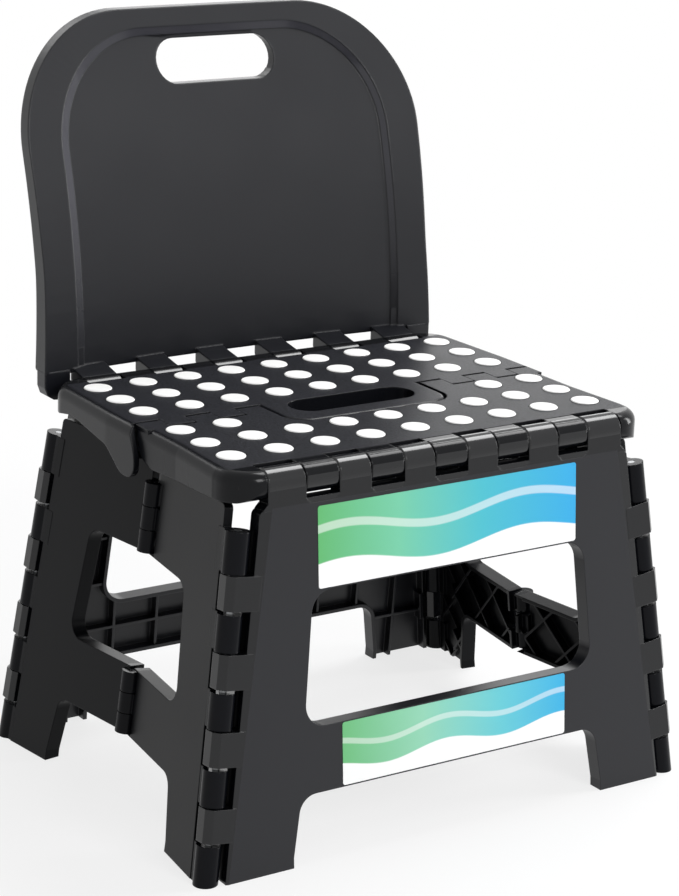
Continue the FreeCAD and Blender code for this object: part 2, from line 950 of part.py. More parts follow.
def tabs():
    """Six wedges that stand on the rear panel's knuckles and carry the backrest."""
    solids = []
    for low, high in leg_column_pairs():
        reach = tab_reach((low + high) / 2)
        side = [
            (-1.6, 6.5, 0),
            (-1.6, 7.85, 0),
            (reach - 6.0, 10.4, 0),
            (reach, 12.0, 0),
            (reach, 2.0, 3.0),
            (4.0, -1.0, 0),
        ]
        side = [(edge_axis_y + y, edge_axis_z + z, r) for y, z, r in side]
        solids += both_sides(profile_along_x(side, low + tab_inset, high - tab_inset))
    return solids


def tongues():
    solids = []
    for low, high in leg_column_pairs():
        y = edge_axis_y + tongue_front
        tongue = box((low + tongue_side, y, edge_axis_z - tongue_length),
                     (high - tongue_side, y + tongue_thick, edge_axis_z + edge_barrel))
        solids += both_sides(tongue)
    return solids


def backrest_panel():
    body = facing(back_outline(0))
    inner = back_outline(back_rim_wall).cut(back_slot(back_rim_wall))
    panel = back_slab(0, back_rim_low, back_rim_high).common(body)
    behind = back_slab(back_rib_depth, over, over).common(facing(inner))
    pockets = back_slab(back_skin, over, over).common(facing(inner.cut(back_rib_strips())))
    panel = panel.cut(behind).cut(pockets)
    for share, shrink in ((0.5, 0.0), (1.0, back_bevel)):
        sink = back_slab(-20.0, back_panel_sink * share, back_panel_sink * share)
        panel = panel.cut(sink.common(facing(back_arch(shrink))))
    panel = panel.cut(facing(back_slot(0)))
    barrels = []
    for low, high in leg_column_pairs():
        barrels += both_sides(rod(edge_barrel, point(low - 1, edge_axis_y, edge_axis_z),
                                  point(high + 1, edge_axis_y, edge_axis_z)))
    leg = rear_leg_solid_zone()
    stand = [tab.cut(barrels + [leg]) for tab in tabs()]
    panel = panel.fuse(stand)
    return clean(panel.fuse(tongues()))


def rear_leg_solid_zone():
    """Everything under the rear panel's outer face, which the tabs stop against."""
    zone = prism(outline([(-150, -over, 0), (150, -over, 0), (150, 215.0, 0), (-150, 215.0, 0)]),
                 -30.0, 0)
    return to_rear(carried(zone, leg_frame()))


# Pins

def edge_pin():
    return rod(pin_radius, point(-pin_span(), -edge_axis_y, edge_axis_z),
               point(pin_span(), -edge_axis_y, edge_axis_z))


def centre_pin():
    start = handle_half_width + handle_gap
    return rod(pin_radius, point(-centre_end, 0, centre_axis_z), point(-start, 0, centre_axis_z))


def corner_pin():
    return rod(pin_radius, corner_axis(pin_end), corner_axis(side_knuckles[-1][1]))


def middle_pin(group):
    return rod(pin_radius, middle_axis(group[0] + middle_knuckle_gap),
               middle_axis(group[1] - middle_knuckle_gap))


def build():
    left_front = side_panel(False, pin_radius)
    left_rear = to_rear(side_panel(True, loose_bore))
    lower, upper = middle_groups
    pin = corner_pin()
    nodes = {
        "front_seat_half": front_seat_half(),
        "rear_seat_half": rear_seat_half(),
        "front_seat_pads": pads(front_pad_places()),
        "rear_seat_pads": to_rear(pads(rear_pad_places())),
        "front_leg_panel": front_leg_panel(),
        "rear_leg_panel": rear_leg_panel(),
        "backrest_panel": backrest_panel(),
        "left_front_side_panel": left_front,
        "left_rear_side_panel": left_rear,
        "right_front_side_panel": to_right(left_front),
        "right_rear_side_panel": to_right(left_rear),
        "front_edge_pin": edge_pin(),
        "rear_edge_pin": to_rear(edge_pin()),
        "centre_pin_left": centre_pin(),
        "centre_pin_right": to_right(centre_pin()),
        "front_left_corner_pin": pin,
        "front_right_corner_pin": to_right(pin),
        "rear_left_corner_pin": to_rear(pin),
        "rear_right_corner_pin": to_right(to_rear(pin)),
        "left_lower_middle_pin": middle_pin(lower),
        "left_upper_middle_pin": middle_pin(upper),
        "right_lower_middle_pin": to_right(middle_pin(lower)),
        "right_upper_middle_pin": to_right(middle_pin(upper)),
    }
    return nodes


os.makedirs("parts", exist_ok=True)
for name, shape in build().items():
    shape.exportStep(os.path.join("parts", name + ".step"))
    print(name, len(shape.Solids), "solids", round(shape.Volume), "mm3", shape.isValid())
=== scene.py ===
import math

import bmesh
import bpy
from mathutils import Matrix, Vector


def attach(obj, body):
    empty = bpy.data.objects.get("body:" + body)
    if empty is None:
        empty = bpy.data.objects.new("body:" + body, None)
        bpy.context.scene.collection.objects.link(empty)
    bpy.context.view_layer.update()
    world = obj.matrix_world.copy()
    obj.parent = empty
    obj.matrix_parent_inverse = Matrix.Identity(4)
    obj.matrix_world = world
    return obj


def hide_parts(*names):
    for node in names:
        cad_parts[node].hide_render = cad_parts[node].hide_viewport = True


# Folding step stool with a backrest: black moulded polypropylene, white grip pads, steel pins.
# Everything is in metres, X to the right seen from the front, Y to the rear, Z up, floor at 0.

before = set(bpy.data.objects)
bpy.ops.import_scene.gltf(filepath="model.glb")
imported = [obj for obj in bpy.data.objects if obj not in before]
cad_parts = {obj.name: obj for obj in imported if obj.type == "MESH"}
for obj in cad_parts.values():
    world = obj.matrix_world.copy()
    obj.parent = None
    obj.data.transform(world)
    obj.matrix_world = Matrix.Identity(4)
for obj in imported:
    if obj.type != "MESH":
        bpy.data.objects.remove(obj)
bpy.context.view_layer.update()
mm = 0.001
print("frame loaded:", len(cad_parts), "CAD nodes")


# Helpers for colours, nodes, objects and meshes

def linearColour(hexText):
    # sRGB hex to the linear colour that the shaders want
    parts = [int(hexText[i:i + 2], 16) / 255 for i in (1, 3, 5)]
    linear = [c / 12.92 if c <= 0.04045 else ((c + 0.055) / 1.055) ** 2.4 for c in parts]
    return (*linear, 1.0)


def addNode(tree, kind, inputs=(), **settings):
    # inputs go by socket name or number in a dictionary, or else in the sockets' own order;
    # a node given there is linked from its first output, an output socket from itself
    node = tree.nodes.new(kind)
    for name, value in settings.items():
        setattr(node, name, value)
    pairs = inputs.items() if isinstance(inputs, dict) else enumerate(inputs)
    for name, value in pairs:
        socket = node.inputs[name]
        source = value.outputs[0] if isinstance(value, bpy.types.Node) else value
        if isinstance(source, bpy.types.NodeSocket):
            tree.links.new(source, socket)
        else:
            socket.default_value = source
    return node


def newMaterial(name):
    material = bpy.data.materials.new(name)
    material.use_nodes = True
    material.node_tree.nodes.clear()
    return material, material.node_tree


def addObject(name, data):
    made = bpy.data.objects.new(name, data)
    bpy.context.scene.collection.objects.link(made)
    return made


def meshFrom(shape, name):
    # normals are turned outwards before the drawn shape becomes a plain mesh
    bmesh.ops.recalc_face_normals(shape, faces=shape.faces)
    mesh = bpy.data.meshes.new(name)
    shape.to_mesh(mesh)
    shape.free()
    return mesh


def mergeDoubles(mesh, distance, turnOut):
    # turnOut is False for a copy of a CAD mesh, which points the right way already
    shape = bmesh.new()
    shape.from_mesh(mesh)
    bmesh.ops.remove_doubles(shape, verts=shape.verts, dist=distance)
    if turnOut:
        bmesh.ops.recalc_face_normals(shape, faces=shape.faces)
    shape.to_mesh(mesh)
    shape.free()


def drawPrism(shape, near, far):
    # two end faces and a closed band of walls between their points
    shape.faces.new(near)
    shape.faces.new(list(reversed(far)))
    for index in range(len(near)):
        after = (index + 1) % len(near)
        shape.faces.new((near[index], far[index], far[after], near[after]))


def finishPiece(name, shape, body, material):
    mesh = meshFrom(shape, name)
    mesh.materials.append(material)
    piece = addObject(name, mesh)
    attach(piece, body)


def plainMesh(obj, name):
    # the evaluated result of the modifiers becomes the object's own mesh
    bpy.context.view_layer.update()
    evaluated = obj.evaluated_get(bpy.context.evaluated_depsgraph_get())
    mesh = bpy.data.meshes.new_from_object(evaluated)
    mesh.name = name
    obj.modifiers.clear()
    obj.data = mesh
    return mesh


# Camera at the photographer's place

photoView = {
    "place": (-0.8309, -1.2427, 0.6426),
    "back": (-0.53096, -0.79660, 0.28905),   # from the object towards the camera
    "rollDegrees": 1.904,
    "lens": 107.52,
    "sensor": 36.0,
    "clipStart": 0.05,
    "clipEnd": 50.0,
}


def addCamera(view):
    back = Vector(view["back"]).normalized()
    right = Vector((0, 0, 1)).cross(back).normalized()
    up = back.cross(right)
    roll = math.radians(view["rollDegrees"])
    tiltedRight = right * math.cos(roll) + up * math.sin(roll)
    tiltedUp = up * math.cos(roll) - right * math.sin(roll)
    data = bpy.data.cameras.new("photoCamera")
    data.lens = view["lens"]
    data.sensor_width = view["sensor"]
    data.clip_start = view["clipStart"]
    data.clip_end = view["clipEnd"]
    camera = addObject("photoCamera", data)
    turn = Matrix((tiltedRight, tiltedUp, back)).transposed().to_4x4()
    camera.matrix_world = Matrix.Translation(Vector(view["place"])) @ turn
    bpy.context.scene.camera = camera


# White room, paper floor and softboxes

studio = {
    "floorSize": 16.0,
    "floorColour": "#f1f1f2",
    "floorRoughness": 0.55,
    "floorSpecular": 0.15,
    "floorFadeStart": 0.10,    # from here on the camera sees the floor fade to the backdrop
    "floorFadeEnd": 0.75,
    "floorGlow": 0.78,         # share of backdrop white in the floor right under the object
    "roomColour": "#ffffff",
    "roomLight": 0.30,
    "lamps": (
        # name, place, aimed at, width, height, watts
        ("keySoftbox", (0.3, -2.3, 1.6), (0.0, 0.0, 0.2), 0.9, 0.9, 30.0),
        ("topSoftbox", (1.2, 0.3, 2.2), (0.0, 0.0, 0.2), 1.1, 1.1, 36.0),
        ("sideSoftbox", (2.1, -0.7, 0.75), (0.0, 0.0, 0.3), 0.45, 1.5, 30.0),
        ("backSoftbox", (1.5, 2.1, 0.75), (0.0, 0.0, 0.22), 1.3, 0.6, 4.0),
        ("rimSoftbox", (-0.1, 2.4, 1.9), (0.0, 0.0, 0.25), 1.2, 0.4, 6.0),
    ),
}


def addLamp(name, place, target, width, height, watts):
    data = bpy.data.lights.new(name, "AREA")
    data.shape = "RECTANGLE"
    data.size = width
    data.size_y = height
    data.energy = watts
    lamp = addObject(name, data)
    lamp.location = place
    aim = Vector(target) - Vector(place)
    lamp.rotation_mode = "QUATERNION"
    lamp.rotation_quaternion = aim.to_track_quat("-Z", "Y")


def seenDirectly(tree):
    # 1 where the camera, a reflection or glass looks at the backdrop, 0 where it only lights
    path = addNode(tree, "ShaderNodeLightPath").outputs
    seen = addNode(tree, "ShaderNodeMath", (path["Is Camera Ray"], path["Is Glossy Ray"]),
                   operation="MAXIMUM")
    return addNode(tree, "ShaderNodeMath", (seen, path["Is Transmission Ray"]),
                   operation="MAXIMUM")


def buildRoom(values):
    world = bpy.data.worlds.new("studioRoom")
    bpy.context.scene.world = world
    world.use_nodes = True
    tree = world.node_tree
    tree.nodes.clear()
    white = linearColour(values["roomColour"])
    lighting = addNode(tree, "ShaderNodeBackground",
                       {"Color": white, "Strength": values["roomLight"]})
    backdrop = addNode(tree, "ShaderNodeBackground", {"Color": white, "Strength": 1.0})
    mix = addNode(tree, "ShaderNodeMixShader", (seenDirectly(tree), lighting, backdrop))
    addNode(tree, "ShaderNodeOutputWorld", {"Surface": mix})


def buildFloor(values):
    # matt paper with the object's shadow, which the camera sees fade to the backdrop's white
    half = values["floorSize"] / 2
    mesh = bpy.data.meshes.new("studioFloor")
    mesh.from_pydata([(-half, -half, 0), (half, -half, 0), (half, half, 0), (-half, half, 0)],
                     [], [(0, 1, 2, 3)])
    floor = addObject("studioFloor", mesh)
    material, tree = newMaterial("paperSweep")
    paper = addNode(tree, "ShaderNodeBsdfPrincipled",
                    {"Base Color": linearColour(values["floorColour"]),
                     "Roughness": values["floorRoughness"],
                     "Specular IOR Level": values["floorSpecular"]})
    glow = addNode(tree, "ShaderNodeEmission",
                   {"Color": linearColour(values["roomColour"]), "Strength": 1.0})
    place = addNode(tree, "ShaderNodeTexCoord").outputs["Object"]
    away = addNode(tree, "ShaderNodeVectorMath", (place,), operation="LENGTH").outputs["Value"]
    fade = addNode(tree, "ShaderNodeMapRange",
                   {"Value": away, "From Min": values["floorFadeStart"],
                    "From Max": values["floorFadeEnd"]}, interpolation_type="SMOOTHSTEP")
    share = addNode(tree, "ShaderNodeMath", (fade, values["floorGlow"]), operation="MAXIMUM")
    amount = addNode(tree, "ShaderNodeMath", (share, seenDirectly(tree)), operation="MULTIPLY")
    mix = addNode(tree, "ShaderNodeMixShader", (amount, paper, glow))
    addNode(tree, "ShaderNodeOutputMaterial", {"Surface": mix})
    mesh.materials.append(material)


# Places on the stool that several pieces and materials share

stoolShape = {
    "seatTop": 223.0 * mm,
    "treadDepth": 3.0 * mm,        # the flat top counts as tread down to this depth
    "treadEdgeY": 92.8 * mm,
    "creaseFloor": 148.2 * mm,     # border crease of the leg panels, at the floor
    "creaseSlope": 0.157,
    "columnFoot": 203.4 * mm,
    "cornerFloorY": 117.0 * mm,    # corner hinge axis of the side panels, at the floor
    "cornerSlopeY": 0.08,
    "barrelReach": 8.0 * mm,
    "middleBarrel": 6.2 * mm,
    "edgeAxisY": 99.8 * mm,        # hinge axis along the seat's front and rear edge
    "edgeAxisZ": 215.0 * mm,
    "legColumns": ((10.95 * mm, 31.35 * mm), (52.95 * mm, 73.65 * mm), (94.65 * mm, 118.65 * mm)),
    "panelLean": 0.08,             # the leg panels lean inwards by this share of the height
    "footHeight": 0.5 * mm,
    "footHalf": 140.0 * mm,
    "arch": {"half": 114.0 * mm, "top": 417.0 * mm, "round": 66.0 * mm, "border": 4.5 * mm,
             "dimBelow": 235.0 * mm, "litAbove": 330.0 * mm},
}


def panelFaceY():
    # outer face of the front leg panel at floor level, from the lowest edge of its own mesh
    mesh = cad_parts["front_leg_panel"].data
    return min(v.co.y for v in mesh.vertices
               if v.co.z < stoolShape["footHeight"] and abs(v.co.x) < stoolShape["footHalf"])


# Moulded plastic: one material for each kind of panel

plastic = {
    "seat": "#0b0c10",         # spark-eroded grip face of the seat: dark pits, paler peaks
    "seatPeak": "#2c2d33",
    "peakStart": 0.4,
    "peakEnd": 0.65,
    "seatRoughness": 0.42,
    "knuckleRoughness": 0.16,
    "grainWidth": 1.2 * mm,    # real grain is nearer 0.3 mm, drawn coarser so that it shows
    "grainDepth": 0.25 * mm,
    "wallGrain": 0.12,         # how strong the grain is on walls, and what the tread adds
    "treadGrain": 0.5,
    "polishedAway": 0.85,      # share of the grain that polishing takes off
    "flowWidth": 70 * mm,      # soft unevenness that the melt leaves in large flat walls
    "flowSwing": 0.10,         # how much it swings the roughness
    "edgeSamples": 6,
    "ior": 1.49,
    "treadFacing": (0.98, 0.01),   # limit and softness of what counts as facing up
    "borderFacing": (0.4, 0.1),    # the same for facing the front
}
# each moulding has its own polish: colours, roughness, reflection and edge rounding of its walls.
# The side panels' darker colour is painted shade, and the backrest's pale accent is a painted
# highlight.
legWall = {"colour": "#14151a", "accent": "#0b0c0f", "roughness": 0.34, "specular": 0.42,
           "edge": 0.8 * mm}
# painted shade: the side panels are the same plastic as the leg panels, with a darker colour for
# the shade they lie in
sideWall = {"colour": "#08090c", "accent": "#0d0e12", "roughness": 0.30, "specular": 0.10,
            "edge": 0.8 * mm}
seatWall = {"colour": "#0e0f13", "accent": "#0b0c0f", "roughness": 0.26, "specular": 0.18,
            "edge": 1.2 * mm}
knuckleWall = {"colour": "#0b0c0f", "accent": "#0b0c0f", "roughness": 0.16, "specular": 0.5,
               "edge": 0.4 * mm}
# the backrest's pale accent is a painted highlight on the lit upper part of the arch border
backWall = {"colour": "#121318", "accent": "#3c3c42", "roughness": 0.32, "specular": 0.34,
            "edge": 1.6 * mm}


def mouldedPlastic(name, region, values, wall):
    # polypropylene, injection moulded: satin walls, polished knuckles, grained tread
    # a Mix node has its share in socket 0, numbers in 2 and 3, colours in 6 and 7
    material, tree = newMaterial(name)
    place = addNode(tree, "ShaderNodeTexCoord").outputs["Object"]
    polished, grained = region(tree, place)
    grain = addNode(tree, "ShaderNodeTexNoise",
                    {"Vector": place, "Scale": 1 / values["grainWidth"], "Detail": 2.0,
                     "Roughness": 0.6})
    flow = addNode(tree, "ShaderNodeTexNoise",
                   {"Vector": place, "Scale": 1 / values["flowWidth"], "Detail": 1.0})
    # the wall takes the accent colour where the region says polished; on the backrest that accent
    # is a painted highlight
    wallColour = addNode(tree, "ShaderNodeMix",
                         {0: polished, 6: linearColour(wall["colour"]),
                          7: linearColour(wall["accent"])}, data_type="RGBA")
    peaks = addNode(tree, "ShaderNodeMapRange",
                    {"Value": grain, "From Min": values["peakStart"],
                     "From Max": values["peakEnd"]})
    tread = addNode(tree, "ShaderNodeMix",
                    {0: peaks, 6: linearColour(values["seat"]),
                     7: linearColour(values["seatPeak"])}, data_type="RGBA")
    colour = addNode(tree, "ShaderNodeMix",
                     {0: grained, 6: wallColour.outputs[2], 7: tread.outputs[2]},
                     data_type="RGBA")
    wallRoughness = addNode(tree, "ShaderNodeMix",
                            {0: polished, 2: wall["roughness"], 3: values["knuckleRoughness"]},
                            data_type="FLOAT")
    evenRoughness = addNode(tree, "ShaderNodeMix",
                            {0: grained, 2: wallRoughness, 3: values["seatRoughness"]},
                            data_type="FLOAT")
    uneven = addNode(tree, "ShaderNodeMath",
                     (flow, values["flowSwing"], -values["flowSwing"] / 2),
                     operation="MULTIPLY_ADD")
    roughness = addNode(tree, "ShaderNodeMath", (evenRoughness, uneven), operation="ADD")
    rounded = addNode(tree, "ShaderNodeBevel", {"Radius": wall["edge"]},
                      samples=values["edgeSamples"])
    relief = addNode(tree, "ShaderNodeMath",
                     (grained, values["treadGrain"], values["wallGrain"]),
                     operation="MULTIPLY_ADD")
    loss = addNode(tree, "ShaderNodeMath", (polished, values["polishedAway"]),
                   operation="MULTIPLY")
    kept = addNode(tree, "ShaderNodeMath", (1.0, loss), operation="SUBTRACT")
    strength = addNode(tree, "ShaderNodeMath", (relief, kept), operation="MULTIPLY")
    bump = addNode(tree, "ShaderNodeBump",
                   {"Strength": strength, "Distance": values["grainDepth"], "Height": grain,
                    "Normal": rounded})
    surface = addNode(tree, "ShaderNodeBsdfPrincipled",
                      {"Base Color": colour.outputs[2], "Roughness": roughness, "Normal": bump,
                       "IOR": values["ior"], "Specular IOR Level": wall["specular"]})
    addNode(tree, "ShaderNodeOutputMaterial", {"Surface": surface})
    return material


def heightOf(tree, place):
    return addNode(tree, "ShaderNodeSeparateXYZ", (place,)).outputs["Z"]


def fromMiddle(tree, place, axis):
    # distance from the stool's middle, so that both sides look alike
    xyz = addNode(tree, "ShaderNodeSeparateXYZ", (place,))
    return addNode(tree, "ShaderNodeMath", (xyz.outputs[axis],), operation="ABSOLUTE")


def ownNormal(tree, axis):
    # the face normal in the piece's own axes, so that it stays right when the piece folds
    normal = addNode(tree, "ShaderNodeNewGeometry").outputs["True Normal"]
    turned = addNode(tree, "ShaderNodeVectorTransform", (normal,), vector_type="NORMAL",
                     convert_from="WORLD", convert_to="OBJECT")
    return addNode(tree, "ShaderNodeSeparateXYZ", (turned,)).outputs[axis]


def above(tree, value, limit, soft=0.4 * mm):
    # 0 below the limit, 1 above it, with a narrow soft step
    return addNode(tree, "ShaderNodeMapRange",
                   {"Value": value, "From Min": limit - soft, "From Max": limit + soft})


# Each region says where a moulding is polished and where it is grained

def legRegion(tree, place):
    # polished outside the border crease and on the hinge columns
    height = heightOf(tree, place)
    crease = addNode(tree, "ShaderNodeMath",
                     (height, stoolShape["creaseSlope"], fromMiddle(tree, place, "X")),
                     operation="MULTIPLY_ADD")
    outside = above(tree, crease, stoolShape["creaseFloor"])
    column = above(tree, height, stoolShape["columnFoot"])
    polished = addNode(tree, "ShaderNodeMath", (outside, column), operation="MAXIMUM")
    return polished, 0.0


def sideRegion(tree, place):
    # polished on the corner barrels and the middle barrels
    depth = fromMiddle(tree, place, "Y")
    lean = addNode(tree, "ShaderNodeMath",
                   (heightOf(tree, place), stoolShape["cornerSlopeY"], depth),
                   operation="MULTIPLY_ADD")
    corner = above(tree, lean, stoolShape["cornerFloorY"] - stoolShape["barrelReach"])
    beyond = above(tree, depth, stoolShape["middleBarrel"])
    middle = addNode(tree, "ShaderNodeMath", (1.0, beyond), operation="SUBTRACT")
    polished = addNode(tree, "ShaderNodeMath", (corner, middle), operation="MAXIMUM")
    return polished, 0.0


def seatRegion(tree, place):
    # grained on the flat top between the knuckle rows, polished from there outwards
    flat = above(tree, ownNormal(tree, "Z"), *plastic["treadFacing"])
    high = above(tree, heightOf(tree, place), stoolShape["seatTop"] - stoolShape["treadDepth"])
    edge = above(tree, fromMiddle(tree, place, "Y"), stoolShape["treadEdgeY"])
    inside = addNode(tree, "ShaderNodeMath", (1.0, edge), operation="SUBTRACT")
    top = addNode(tree, "ShaderNodeMath", (flat, high), operation="MULTIPLY")
    tread = addNode(tree, "ShaderNodeMath", (top, inside), operation="MULTIPLY")
    polished = addNode(tree, "ShaderNodeMath", (edge, tread), operation="SUBTRACT",
                       use_clamp=True)
    return polished, tread


def backRegion(tree, place):
    # the sloping border of the sunk field, a round-topped arch, is polished, and painted paler as a
    # highlight that fades out towards the bottom
    arch = stoolShape["arch"]
    height = heightOf(tree, place)
    beside = addNode(tree, "ShaderNodeMath",
                     (fromMiddle(tree, place, "X"), arch["half"] - arch["round"]),
                     operation="SUBTRACT")
    over = addNode(tree, "ShaderNodeMath", (height, arch["top"] - arch["round"]),
                   operation="SUBTRACT")
    corner = addNode(tree, "ShaderNodeCombineXYZ",
                     [addNode(tree, "ShaderNodeMath", (reach, 0.0), operation="MAXIMUM")
                      for reach in (beside, over)])
    away = addNode(tree, "ShaderNodeVectorMath", (corner,), operation="LENGTH").outputs["Value"]
    inner = above(tree, away, arch["round"] - arch["border"])
    outer = above(tree, away, arch["round"])
    band = addNode(tree, "ShaderNodeMath", (inner, outer), operation="SUBTRACT", use_clamp=True)
    toFront = addNode(tree, "ShaderNodeMath", (ownNormal(tree, "Y"), -1.0),
                      operation="MULTIPLY")
    border = addNode(tree, "ShaderNodeMath",
                     (band, above(tree, toFront, *plastic["borderFacing"])),
                     operation="MULTIPLY")
    # painted highlight: full from litAbove up, none below dimBelow
    lit = addNode(tree, "ShaderNodeMapRange",
                  {"Value": height, "From Min": arch["dimBelow"], "From Max": arch["litAbove"]})
    polished = addNode(tree, "ShaderNodeMath", (border, lit), operation="MULTIPLY")
    return polished, 0.0


def knuckleRegion(tree, place):
    # polished all over
    return 1.0, 0.0


# Hinge pins

pins = {
    "colour": "#b9bbbd",
    "roughness": 0.28,
    "roughnessSwing": 0.2,
    "lineWidth": 0.6 * mm,
}


def pinMaterial(values):
    # steel wire, cut and zinc plated: grey-white metal with fine drawing lines
    material, tree = newMaterial("platedSteelPin")
    place = addNode(tree, "ShaderNodeTexCoord").outputs["Object"]
    lines = addNode(tree, "ShaderNodeTexNoise",
                    {"Vector": place, "Scale": 1 / values["lineWidth"], "Detail": 2.0})
    roughness = addNode(tree, "ShaderNodeMath",
                        (lines, values["roughnessSwing"], values["roughness"]),
                        operation="MULTIPLY_ADD")
    surface = addNode(tree, "ShaderNodeBsdfPrincipled",
                      {"Base Color": linearColour(values["colour"]), "Metallic": 1.0,
                       "Roughness": roughness})
    addNode(tree, "ShaderNodeOutputMaterial", {"Surface": surface})
    return material


def dressNode(name, material):
    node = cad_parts[name]
    node.data.materials.clear()
    node.data.materials.append(material)


# Round grip pads on both halves of the seat

gripPads = {
    "diameter": 16.4 * mm,
    "rise": 0.6 * mm,
    "edge": 0.45 * mm,
    "sides": 56,
    "pitch": 30.0 * mm,
    "columns": 4,                       # on each side of the middle column
    "frontRows": (-71.7 * mm, -44.6 * mm),
    "hingeRow": -17.6 * mm,
    "hingeColumns": (3, 4),
    "rearRows": (24.2 * mm, 51.2 * mm, 78.3 * mm),
    "mergeDistance": 0.01 * mm,
    "colour": "#fbfbfa",
    "soiled": "#ecece9",
    "soilStart": 0.45,
    "soilEnd": 0.75,
    "soilShare": 0.35,
    "soilWidth": 26 * mm,
    "roughness": 0.62,
    "skinWidth": 0.5 * mm,
    "skinDepth": 0.05 * mm,
    "skinRelief": 0.2,
    "grooveWidth": 0.45 * mm,
    "grooveRise": 0.04 * mm,
    # near-black of the groove ring and the tread line: painted shade
    "grooveShadeColour": "#08080a",
    "grooveRoughness": 0.7,
    "grooveSwing": 0.2,
    "grooveSpecular": 0.1,
}
# inputs of the pads' node tree: socket name, its kind, and where its value is above
padInputs = (
    ("Diameter", "NodeSocketFloat", "diameter"),
    ("Rise", "NodeSocketFloat", "rise"),
    ("Edge", "NodeSocketFloat", "edge"),
    ("Groove Width", "NodeSocketFloat", "grooveWidth"),
    ("Groove Rise", "NodeSocketFloat", "grooveRise"),
    ("Sides", "NodeSocketInt", "sides"),
)


def gripPadMaterial(values):
    # soft white thermoplastic elastomer, set into the tread: dull, a little warm
    material, tree = newMaterial("whiteElastomer")
    place = addNode(tree, "ShaderNodeTexCoord").outputs["Object"]
    fine = addNode(tree, "ShaderNodeTexNoise",
                   {"Vector": place, "Scale": 1 / values["skinWidth"], "Detail": 2.0})
    soil = addNode(tree, "ShaderNodeTexNoise",
                   {"Vector": place, "Scale": 1 / values["soilWidth"], "Detail": 3.0})
    tint = addNode(tree, "ShaderNodeMapRange",
                   {"Value": soil, "From Min": values["soilStart"],
                    "From Max": values["soilEnd"], "To Max": values["soilShare"]})
    colour = addNode(tree, "ShaderNodeMix",
                     {0: tint, 6: linearColour(values["colour"]),
                      7: linearColour(values["soiled"])}, data_type="RGBA")
    bump = addNode(tree, "ShaderNodeBump",
                   {"Strength": values["skinRelief"], "Distance": values["skinDepth"],
                    "Height": fine})
    surface = addNode(tree, "ShaderNodeBsdfPrincipled",
                      {"Base Color": colour.outputs[2], "Roughness": values["roughness"],
                       "Normal": bump})
    addNode(tree, "ShaderNodeOutputMaterial", {"Surface": surface})
    return material


def grooveShadeMaterial(values):
    # painted shade: a near-black sheet in the narrow groove that the moulded seat leaves round each
    # pad, and along the tread's edge, where shadow falls; the noise varies only its roughness
    material, tree = newMaterial("padGrooveShadow")
    place = addNode(tree, "ShaderNodeTexCoord").outputs["Object"]
    dust = addNode(tree, "ShaderNodeTexNoise", {"Vector": place, "Scale": 1 / values["skinWidth"]})
    roughness = addNode(tree, "ShaderNodeMath",
                        (dust, values["grooveSwing"], values["grooveRoughness"]),
                        operation="MULTIPLY_ADD")
    surface = addNode(tree, "ShaderNodeBsdfPrincipled",
                      {"Base Color": linearColour(values["grooveShadeColour"]), "Roughness": roughness,
                       "Specular IOR Level": values["grooveSpecular"]})
    addNode(tree, "ShaderNodeOutputMaterial", {"Surface": surface})
    return material


def padPlaces(values):
    span = range(-values["columns"], values["columns"] + 1)
    front = [(i * values["pitch"], y) for y in values["frontRows"] for i in span]
    front += [(side * i * values["pitch"], values["hingeRow"])
              for side in (-1, 1) for i in values["hingeColumns"]]
    rear = [(i * values["pitch"], y) for y in values["rearRows"] for i in span]
    return front, rear


